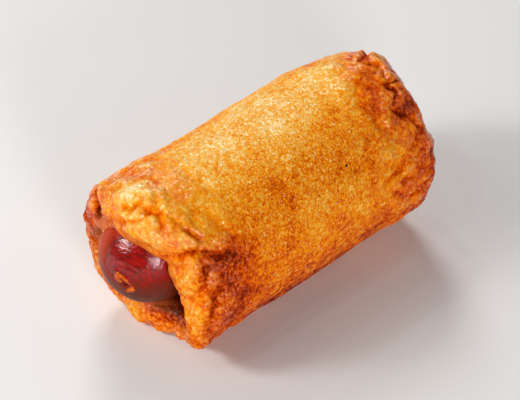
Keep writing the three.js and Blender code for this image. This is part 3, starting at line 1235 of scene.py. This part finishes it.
CREASES = (
    Crease("left lobe", 1.5, 0.8, ((-32.4, -52), (-34.2, -44), (-36.1, -38), (-37.7, -43), (-39.5, -60))),
    Crease("under the lump", 0.9, 0.6, ((-34.0, -10), (-34.6, -4), (-34.4, 2), (-32.3, 4), (-31.6, -1))),
    Crease("hood dip", 0.8, 0.55, ((-37.4, -7), (-36.5, 3), (-34.6, 13), (-33.2, 12.5), (-32.4, 17))),
    Crease("hood slant", 0.7, 0.5, ((-33.0, 7), (-32.6, 16), (-33.3, 31))),
    Crease("hood slant back", 0.45, 0.5, ((-30.2, 6), (-31.4, 13), (-32.6, 21))),
    Crease(
        "hood edge",
        1.0,
        0.7,
        ((-31.3, 23), (-29.4, 38), (-28.8, 43), (-30.2, 46.5), (-32.6, 46), (-37.6, 49)),
    ),
    Crease("side crease", 0.5, 0.9, ((-31.2, 49), (-28.2, 51), (-26.4, 54), (-21.0, 62))),
    Crease("side fold", 0.6, 1.2, ((-30.7, 50), (-30.0, 55), (-31.2, 68), (-34.6, 74), (-36.3, 80))),
    Crease("behind the foot", 0.45, 1.0, ((-25.8, 80), (-29.8, 78), (-30.4, 90), (-31.6, 100))),
    Crease("cut in the foot", 0.35, 0.4, ((-36.2, 95), (-34.2, 93))),
    Crease("top split", 0.9, 0.5, ((34.5, -16), (31.9, -12), (30.2, -4))),
    Crease("behind the top split", 0.4, 0.4, ((30.2, -4), (29.4, -10), (29.0, -15))),
    Crease("top ring", 0.6, 0.4, ((30.2, -6), (30.8, 5), (30.4, 14), (30.0, 20))),
    Crease("behind the top ring", 0.4, 0.4, ((30.7, 5), (29.8, 7), (28.2, 8.5))),
    Crease("cut in the rim", 0.9, 0.45, ((29.8, 20), (31.1, 20), (33.2, 19))),
    Crease("under the ring's lobe", 0.35, 0.4, ((28.1, 8), (28.3, 14), (29.8, 20))),
    Crease("curl of the ring", 0.85, 0.4, ((29.6, 21), (30.1, 25), (30.2, 28), (29.3, 31), (27.3, 32.5))),
    Crease("side ring", 0.7, 0.45, ((27.1, 31), (27.6, 36), (29.2, 42))),
    Crease("behind the side ring", 0.4, 0.45, ((29.0, 41), (29.3, 48), (28.5, 55))),
    Crease("side ring's low arm", 0.5, 0.32, ((28.5, 33), (29.5, 39), (30.4, 47), (30.9, 56), (32.6, 57))),
    Crease("rim line", 0.4, 0.3, ((32.0, 25), (31.8, 32), (31.6, 36))),
    Crease("lower ring", 0.5, 0.5, ((30.5, 65), (29.8, 66), (28.3, 68), (27.3, 69))),
    Crease("side pleat", 0.45, 0.45, ((29.7, 95), (28.1, 94), (26.3, 95), (25.1, 98))),
    Crease("lowest pleat", 0.45, 0.45, ((24.3, 104), (22.9, 102), (20.5, 108), (19.2, 108), (15.4, 104))),
    Crease("rim fold", 0.3, 0.35, ((32.0, 70), (31.8, 77), (31.8, 92))),
    Crease("edge of the pale top", 0.25, 0.4, ((25.5, 8), (22.5, 15), (18.8, 17), (11.0, 18))),
    Crease("dent by the edge", 0.4, 0.8, ((22.3, 37), (23.1, 43), (24.1, 45))),
    Crease("upper side pleat", 0.5, 0.7, ((27.5, 65), (25.1, 68), (19.9, 72), (18.0, 75))),
    Crease("lower side pleat", 0.9, 0.6, ((32.5, 88), (30.9, 90), (25.9, 95))),
    Crease("short side pleat", 0.4, 0.7, ((24.5, 79), (22.8, 82))),
    Crease("long side line", 0.3, 0.4, ((22.0, 85), (14.0, 83), (11.0, 81))),
)

LUMPS = (
    Patch("pale puff on the hood", -32.3, 2.6, -6, 8, 0.75),
    Patch("broad puff on the left", -35.5, 3.0, -19, 9, 0.45),
    Patch("lump under the pale puff", -35.2, 1.2, 6, 8, 0.5),
    Patch("hood's lower ridge", -35.6, 1.5, 22, 14, 0.5),
    Patch("middle hood lump", -31.3, 1.5, 6, 4.5, 0.4),
    Patch("right hood lump", -30.2, 1.8, 15, 5.5, 0.35),
    Patch("upper hood lump", -26.0, 2.0, 6, 6, 0.35),
    Patch("hood's right end", -30.9, 1.6, 35, 6, 0.45),
    Patch("lump behind the hood's end", -29.4, 1.5, 47, 5, 0.3),
    Patch("top of the side fold", -32.4, 1.8, 54, 6, 0.5),
    Patch("middle of the side fold", -35.0, 2.0, 66, 8, 0.5),
    Patch("foot of the side fold", -34.8, 2.5, 98, 9, 0.6),
    Patch("left end lump", -33.2, 1.8, -30, 7, 0.35),
    Patch("far pale lump", 21.0, 1.8, 6, 5, 0.3),
)

BROWNING_AND_PAINTED_LIGHT = (
    # paler along the top: partly less browning, partly painted light
    Patch("pale top", 10, 27, -18, 42, -0.32),
    Patch("pale far shoulder", 19, 8, -6, 14, -0.08),
    Patch("orange middle", 2, 22, 62, 30, 0.08),
    Patch("gold lower side", 10, 16, 98, 18, 0.04),
    Patch("brown behind the fold", -25, 7, 68, 20, 0.3),
    Patch("brown by the foot", -27, 6, 98, 14, 0.32),
    # darker low on the -Y side: partly browning, partly painted shade
    Patch("brown lower side", -6, 24, 124, 18, 0.42),
    Patch("near top gold", -16, 10, 0, 34, -0.12),
    Patch("pale middle", 0, 12, 68, 22, -0.13),
    Patch("orange behind the hood", -20, 7, 40, 12, -0.06),
    Patch("brown low by the fold", -20, 7, 88, 12, 0.14),
    Patch("far side brown", 32, 6, 98, 40, 0.2),
    Patch("far top orange", 29, 7, 20, 50, 0.2),
    Patch("left lobe", -38, 7, -66, 34, 0.34),
    Patch("brown floor of the pocket", -42, 4, 156, 24, 0.42),
    Patch("bright fold", -35, 3.5, 78, 26, -0.13),
    Patch("pale puff on the hood", -32.3, 2.6, -6, 9, -0.2),
    Patch("bright foot", -35, 4, 106, 14, -0.08),
    Patch("gold hood", -33, 4, 12, 32, -0.06),
)
BASE_BROWNING = 0.5  # midway from cream to red-brown
BURNT_SPECKS = ((10.8, 50.0), (29.8, -14.0))  # places along and round the roll


@dataclass
class DoughWrap:
    """The browned dough round the sausage: wall, two lips, creases and puffs."""

    sausage: Sausage
    finish: BrownedDough = field(default_factory=BrownedDough)
    radius: float = 20.2
    taper: float = 0.006
    rest_sink: float = 1.2
    rest_softness: float = 0.4
    clearance: float = 0.12
    pocket_depth: float = 10.0
    foot: Rise = Rise("foot of the side fold", 121, 12, 1.9)
    foot_start: float = -26.0
    foot_full: float = -32.0
    near_swell_base: float = -0.2
    far_swell_base: float = -0.5
    near_bulge_span: tuple[float, float] = (-18.0, -31.0)
    near_hollow_span: tuple[float, float] = (-4.0, -32.0)
    far_swell_span: tuple[float, float] = (14.0, 30.0)
    near_end_span: tuple[float, float] = (-31.0, -12.0)
    far_end_span: tuple[float, float] = (12.0, 31.0)
    puffs: tuple[Puff, ...] = (Puff(6.0, 0.85, 0.45, 3.1), Puff(2.9, 0.3, 0.42, 11.7))
    pebble: Puff = Puff(1.3, 0.1, 0.4, 23.9)
    middle_pebbles: float = 0.5
    unevenness: Wobble = Wobble(0.1, 5.0, 41.0)
    wander: float = 0.9
    wander_length: float = 3.6
    fine_wander: float = 0.35
    fine_wander_length: float = 1.3
    along_seeds: tuple[float, float] = (7.3, 1.9)
    across_seeds: tuple[float, float] = (17.1, 31.7)
    wrinkle_bands: tuple[Rise, ...] = (
        Rise("lower side", 138, 32, 1.0),
        Rise("upper left", -38, 26, 0.6),
    )
    wrinkles: tuple[Wrinkles, ...] = (
        Wrinkles((11.0, 1.25, 1.25), 0.38, 0.16, 5.5),
        Wrinkles((5.8, 0.66, 0.66), 0.15, 0.2, 15.5),
    )
    end_calm: float = 0.5  # how much weaker the wrinkles are at the ends
    waves: Wobble = Wobble(0.25, (14.0, 3.2, 3.2), 2.2)
    skin_span: tuple[float, float] = (0.03, 0.4)
    inner_span: tuple[float, float] = (0.5, 0.1)
    upward_span: tuple[float, float] = (-0.2, 0.7)
    low_side: Rise = Rise("lower side", 125, 40, 1.0)
    blotches: Wobble = Wobble(0.07, 9.0, 3.3)
    fine_blotches: Wobble = Wobble(0.05, 4.0, 8.8)
    # painted shade in the creases and painted highlight on the lumps
    crease_shade: float = 1.3
    lump_shade: float = 1.1
    hollow_shade: float = 1.3
    top_shade: float = 0.5
    shade_limits: tuple[float, float] = (-2.2, 1.0)
    columns: int = 384
    near_rows: int = 72
    wall_rows: int = 104
    far_rows: int = 56
    bore_rows: int = 24
    specks: list[Field] = field(default_factory=list)

    @property
    def axis_height(self) -> float:
        """Return the height of the roll's axis above the floor."""
        return self.radius - self.rest_sink

    @property
    def thickness(self) -> float:
        """Return the dough's thickness round the sausage."""
        return self.radius - self.sausage.radius - self.clearance

    def wall_radius(self, x: Field, around: Field) -> Field:
        """Radius of the roll's outside.

        Args:
            x: Place along the roll.
            around: Direction round the roll.

        Returns:
            The radius at each place.
        """
        radius = self.radius - self.taper * x
        radius = radius + sum(swell.height(x, around) for swell in WALL_SWELLS)
        radius = radius + self.foot.height(around) * ramp(self.foot_start, self.foot_full, x)
        near = total_rise(self.near_swell_base, NEAR_SWELLS, around)
        far = total_rise(self.far_swell_base, FAR_SWELLS, around)
        bulge, hollow = ramp(*self.near_bulge_span, x), ramp(*self.near_hollow_span, x)
        return radius + near * np.where(near > 0.0, bulge, hollow) + far * ramp(*self.far_swell_span, x)

    def points_at(self, x: Field, share: Field, around: Field) -> Field:
        """Places in the dough.

        Args:
            x: Place along the roll.
            share: Share of the way from the sausage out to the wall.
            around: Direction round the roll.

        Returns:
            Points about the roll's axis.
        """
        angle = np.radians(around)
        inner = self.sausage.radius_at(x) + self.clearance
        radius = inner + (self.wall_radius(x, around) - inner) * share
        y = self.sausage.offset_y * (1.0 - share) - radius * np.sin(angle)
        z = self.sausage.offset_z * (1.0 - share) + radius * np.cos(angle)
        return np.stack([x, y, z], -1)

    def loop_rows(self, around: Field) -> list[tuple[Field, Field, Field, Region]]:
        """Lay out the rows of one loop along the roll.

        Args:
            around: Directions round the roll.

        Returns:
            For each row: place along the roll, share of the thickness, length along the
            surface, and the stretch it belongs to.
        """
        rows = []
        for turn in math.pi * (1.0 - np.arange(self.near_rows) / self.near_rows):
            rows.append((*NEAR_LIP.places(turn, around, self.thickness), Region.NEAR_LIP))
        for progress in np.arange(self.wall_rows) / self.wall_rows:
            level = NEAR_LIP.shoulder + (FAR_LIP.shoulder - NEAR_LIP.shoulder) * progress
            x = np.full_like(around, level)
            rows.append((x, np.ones_like(x), x, Region.WALL))
        for turn in math.pi * np.arange(self.far_rows) / self.far_rows:
            rows.append((*FAR_LIP.places(turn, around, self.thickness), Region.FAR_LIP))
        near_edge, far_edge = NEAR_LIP.edge(around), FAR_LIP.edge(around)
        near_gap = NEAR_LIP.gap_share(around, self.thickness)
        far_gap = FAR_LIP.gap_share(around, self.thickness)
        for progress in np.arange(self.bore_rows) / self.bore_rows:
            x = far_edge + (near_edge - far_edge) * (0.5 - 0.5 * math.cos(math.pi * progress))
            share = far_gap * ramp(self.pocket_depth, 0.0, far_edge - x)
            share = share + near_gap * ramp(self.pocket_depth, 0.0, x - near_edge)
            rows.append((x, share, x, Region.BORE))
        return rows

    def end_share(self, along: Field) -> Field:
        """Return how near each place is to the puffed ends, 0 in the middle of the wall."""
        near = 1.0 - ramp(*self.near_end_span, along)
        return np.maximum(near, ramp(*self.far_end_span, along))

    def wandering(self, points: Field, seed: float, fine_seed: float) -> Field:
        """How far the fold lines wander one way, so that they aren't straight.

        Args:
            points: Places on the smooth dough.
            seed: Moves the broad wander.
            fine_seed: Moves the fine one.

        Returns:
            The wander at each place.
        """
        broad = self.wander * noise(points, self.wander_length, seed)
        return broad + self.fine_wander * noise(points, self.fine_wander_length, fine_seed)

    def relief(self, points: Field, along: Field, around: Field) -> tuple[Field, Field]:
        """Height of everything on the dough's skin.

        Args:
            points: Places on the smooth dough.
            along: Length along the surface.
            around: Direction round the roll.

        Returns:
            The creases' height and the lumps' height.
        """
        wandered = along + self.wandering(points, *self.along_seeds)
        wander_across = self.wandering(points, *self.across_seeds)
        creased = sum(
            crease.height(wandered, around, wander_across, self.axis_height) for crease in CREASES
        )
        ends = self.end_share(along)
        lumps = ends * sum(puff.height(points) for puff in self.puffs)
        lumps = lumps + sum(lump.height(wandered, around) for lump in LUMPS)
        lumps = lumps + self.pebble.height(points) * (self.middle_pebbles + ends)
        lumps = lumps + self.unevenness.at(points) * (1.0 - ends)
        return creased, lumps + self.long_wrinkles(points, around, ends)

    def long_wrinkles(self, points: Field, around: Field, ends: Field) -> Field:
        """Fine wrinkles along the roll, low on its sides.

        Args:
            points: Places on the smooth dough.
            around: Direction round the roll.
            ends: How near each place is to the ends.

        Returns:
            The wrinkles' height.
        """
        share = total_rise(0.0, self.wrinkle_bands, around)
        wrinkles = sum(wrinkle.height(points) for wrinkle in self.wrinkles)
        return share * (wrinkles * (1.0 - self.end_calm * ends) + np.abs(self.waves.at(points)))

    def settle(self, points: Field) -> Field:
        """Lift the roll to its height and flatten what would lie below the floor.

        Args:
            points: Places about the roll's axis.

        Returns:
            Places above the floor.
        """
        settled = points.copy()
        z = points[..., 2] + self.axis_height
        above = np.clip(0.5 + 0.5 * z / self.rest_softness, 0.0, 1.0)
        settled[..., 2] = z * above + self.rest_softness * above * (1.0 - above)
        return settled

    def build(self, shift: Field) -> bpy.types.Object:
        """Build the dough's mesh and its fields.

        Args:
            shift: From the roll's own origin to the frame's.

        Returns:
            The dough.
        """
        around_row = 360.0 * np.arange(self.columns) / self.columns
        rows = self.loop_rows(around_row)
        x, share, along = (np.array([row[part] for row in rows]) for part in range(3))
        in_bore = np.array([row[3] is Region.BORE for row in rows])[:, None]
        around = np.broadcast_to(around_row, x.shape)
        smooth = self.points_at(x, share, around)
        creased, lumps = self.relief(smooth, along, around)
        skin = np.where(in_bore, 0.0, ramp(*self.skin_span, share))
        lifted = smooth + grid_normals(smooth) * ((creased + lumps) * skin)[..., None]
        points = self.settle(lifted) + shift

        self.specks = self.speck_places(points, np.where(in_bore, np.inf, along), around)
        piece = make_piece("dough_wrap", points.reshape(-1, 3), ring_faces(*x.shape, closed=True))
        turned_in = np.where(in_bore, 1.0, ramp(*self.inner_span, share))
        upward = ramp(*self.upward_span, grid_normals(lifted)[..., 2])
        add_field(piece, "browning_and_painted_light", self.browning_and_painted_light(smooth, along, around))
        # relief height: painted shade in the creases, painted highlight on the lumps, and oil
        add_field(piece, "raised", self.raised(creased, lumps) * skin)
        add_field(piece, "inner", turned_in)
        add_field(piece, "low_side", self.low_side.height(around))
        add_field(piece, "upward", upward)
        add_field(piece, "ends", self.end_share(along))
        return piece

    def browning_and_painted_light(self, points: Field, along: Field, around: Field) -> Field:
        """How far each place has browned, with painted light along the top and painted shade low on the -Y
        side.

        Args:
            points: Places on the smooth dough.
            along: Length along the surface.
            around: Direction round the roll.

        Returns:
            0 for cream, 1 for red-brown.
        """
        browned = BASE_BROWNING + sum(patch.height(along, around) for patch in BROWNING_AND_PAINTED_LIGHT)
        return browned + self.blotches.at(points) + self.fine_blotches.at(points)

    def raised(self, creased: Field, lumps: Field) -> Field:
        """How far each place stands out, for its colour and oil: painted shade in the creases, painted
        highlight on the lumps.

        Args:
            creased: The creases' height.
            lumps: The lumps' height.

        Returns:
            Below 0 in the creases and above 0 on the lumps.
        """
        height = self.crease_shade * creased + self.lump_shade * lumps
        height = height * np.where(height < 0.0, self.hollow_shade, self.top_shade)
        return np.clip(height, *self.shade_limits)

    def speck_places(self, points: Field, along: Field, around: Field) -> list[Field]:
        """Find the burnt specks' places on the finished skin.

        Args:
            points: Places on the finished skin.
            along: Length along the surface at each place.
            around: Direction round the roll at each place.

        Returns:
            The place nearest to each speck.
        """
        places = []
        for speck_along, speck_around in BURNT_SPECKS:
            across = np.radians(wrap_degrees(around - speck_around)) * self.radius
            nearest = np.argmin(np.hypot(along - speck_along, across))
            places.append(points.reshape(-1, 3)[nearest])
        return places

    def dress(self, piece: bpy.types.Object) -> None:
        """Give the dough its browned skin and its place in the frame.

        Args:
            piece: The dough.
        """
        piece.data.materials.append(self.finish.material(self.specks))
        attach(piece, "root")
        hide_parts("crust")


# ---- The studio ----

SPOT_DISTANCE = 0.55  # metres from the roll


@dataclass(frozen=True)
class SoftBox:
    """A round studio light: its direction from the roll in degrees and its size in metres."""

    name: str
    azimuth: float
    elevation: float
    distance: float
    width: float
    height: float
    turn: float
    watts: float


def spot(name: str, azimuth: float, elevation: float, size: float, watts: float) -> SoftBox:
    """A small bright light, which gives the oily crust its glints.

    Args:
        name: The light's name.
        azimuth: Its direction from the roll, in degrees.
        elevation: Its height over the floor, in degrees.
        size: How far across it is, in metres.
        watts: Its power.

    Returns:
        The light, as a round box.
    """
    return SoftBox(name, azimuth, elevation, SPOT_DISTANCE, size, size, 0.0, watts)


def direction(azimuth: float, elevation: float) -> Vector:
    """Return the unit direction of an azimuth, which is 0 towards -Y, and an elevation."""
    turn, lift = math.radians(azimuth), math.radians(elevation)
    return Vector((math.sin(turn) * math.cos(lift), -math.cos(turn) * math.cos(lift), math.sin(lift)))


@dataclass
class Studio:
    """A pale floor, soft lights and the camera."""

    floor_finish: PaleFloor = field(default_factory=PaleFloor)
    floor_side: float = 3.0
    boxes: tuple[SoftBox, ...] = (
        SoftBox("key_box", -118, 35, 0.55, 0.46, 0.15, 31.0, 0.75),
        SoftBox("glint_box", -119, 36, 0.54, 0.14, 0.10, 31.0, 0.95),
        spot("high_spot", -90, 62, size=0.04, watts=0.11),
        spot("overhead_spot", -60, 72, size=0.03, watts=0.06),
        spot("left_spot", -122, 56, size=0.04, watts=0.11),
        spot("far_spot", 75, 24, size=0.04, watts=0.11),
        spot("behind_spot", 172, 58, size=0.04, watts=0.11),
        SoftBox("side_box", -24, 17, 0.60, 0.17, 0.17, 0.0, 1.95),
        SoftBox("back_box", 150, 38, 0.60, 0.20, 0.20, 0.0, 1.6),
    )
    sky_colour: tuple = (1.0, 1.0, 1.0, 1.0)
    sky_strength: float = 0.1
    azimuth: float = -41.0
    elevation: float = 43.0
    distance: float = 560.0
    millimetres_per_pixel: float = 0.215
    target: tuple[float, float, float] = (0.0, 0.0, 19.0)
    nudge_right: float = 1.0  # the roll's place in the photo, in its pixels
    nudge_up: float = 4.0
    image_width: int = 520
    sensor_width: float = 36.0
    clip_start: float = 0.01

    def lay_floor(self) -> bpy.types.Object:
        """Lay the floor that the roll rests on.

        Returns:
            The floor.
        """
        half = self.floor_side / 2.0 / MM
        sides = ((-half, -half), (half, -half), (half, half), (-half, half))
        corners = np.array([(x, y, 0.0) for x, y in sides])
        floor = make_piece("floor", corners, [(0, 1, 2, 3)])
        floor.data.materials.append(self.floor_finish.material())
        return floor

    def hang(self, box: SoftBox) -> None:
        """Hang a soft box and turn it to face the roll.

        Args:
            box: Which box.
        """
        lamp = bpy.data.lights.new(box.name, "AREA")
        lamp.shape = "ELLIPSE"
        lamp.size = box.width
        lamp.size_y = box.height
        lamp.energy = box.watts
        holder = bpy.data.objects.new(box.name, lamp)
        bpy.context.scene.collection.objects.link(holder)
        toward = direction(box.azimuth, box.elevation)
        facing = toward.to_track_quat("Z", "Y").to_matrix()
        turned = facing @ Matrix.Rotation(math.radians(box.turn), 3, "Z")
        holder.location = Vector(self.target) * MM + toward * box.distance
        holder.rotation_euler = turned.to_euler()

    def light(self) -> None:
        """Hang the soft boxes and set the pale surroundings."""
        for box in self.boxes:
            self.hang(box)
        world = bpy.data.worlds.new("pale_room")
        world.use_nodes = True
        background = world.node_tree.nodes["Background"]
        background.inputs["Color"].default_value = self.sky_colour
        background.inputs["Strength"].default_value = self.sky_strength
        bpy.context.scene.world = world
        bpy.context.scene.view_settings.view_transform = "Standard"

    def place_camera(self, shift: Field) -> bpy.types.Object:
        """Set the camera at the photograph's angle and framing.

        Args:
            shift: From the roll's own origin to the frame's, in millimetres.

        Returns:
            The camera.
        """
        back = direction(self.azimuth, self.elevation)
        turn = math.radians(self.azimuth)
        right = Vector((math.cos(turn), math.sin(turn), 0.0))
        up = back.cross(right)
        place = Vector(self.target) + Vector(shift) + back * self.distance
        place -= right * (self.nudge_right * self.millimetres_per_pixel)
        place -= up * (self.nudge_up * self.millimetres_per_pixel)
        lens = bpy.data.cameras.new("camera")
        lens.sensor_width = self.sensor_width
        lens.lens = self.sensor_width * self.distance / (self.image_width * self.millimetres_per_pixel)
        lens.clip_start = self.clip_start
        camera = bpy.data.objects.new("camera", lens)
        bpy.context.scene.collection.objects.link(camera)
        axes = Matrix((right, up, back)).transposed().to_4x4()
        camera.matrix_world = Matrix.Translation(place * MM) @ axes
        bpy.context.scene.camera = camera
        return camera


def frame_shift(sausage: Sausage) -> Field:
    """Find the frame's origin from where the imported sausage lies.

    Args:
        sausage: The sausage, whose tip and axis are known in the roll's own frame.

    Returns:
        The shift from the roll's own origin to the frame's, in millimetres.
    """
    low, high = (np.array(corner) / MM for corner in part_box("sausage"))
    shift_x = high[0] - (sausage.far_dome_x + sausage.radius)
    shift_y = (low[1] + high[1]) / 2.0 - sausage.offset_y
    return np.array([shift_x, shift_y, 0.0])


def report(piece: bpy.types.Object) -> None:
    """Log a finished piece and its number of faces."""
    LOG.info("built %s with %d faces", piece.name, len(piece.data.polygons))


def main() -> None:
    """Build the roll and its studio in order."""
    logging.basicConfig(level=logging.INFO)
    sausage = Sausage()
    wrap = DoughWrap(sausage)
    shift = frame_shift(sausage)

    studio = Studio()
    report(studio.lay_floor())
    studio.light()
    studio.place_camera(shift)

    link = sausage.build(wrap.axis_height, shift)
    sausage.dress(link)
    report(link)

    dough = wrap.build(shift)
    wrap.dress(dough)
    report(dough)


if __name__ == "__main__":
    main()
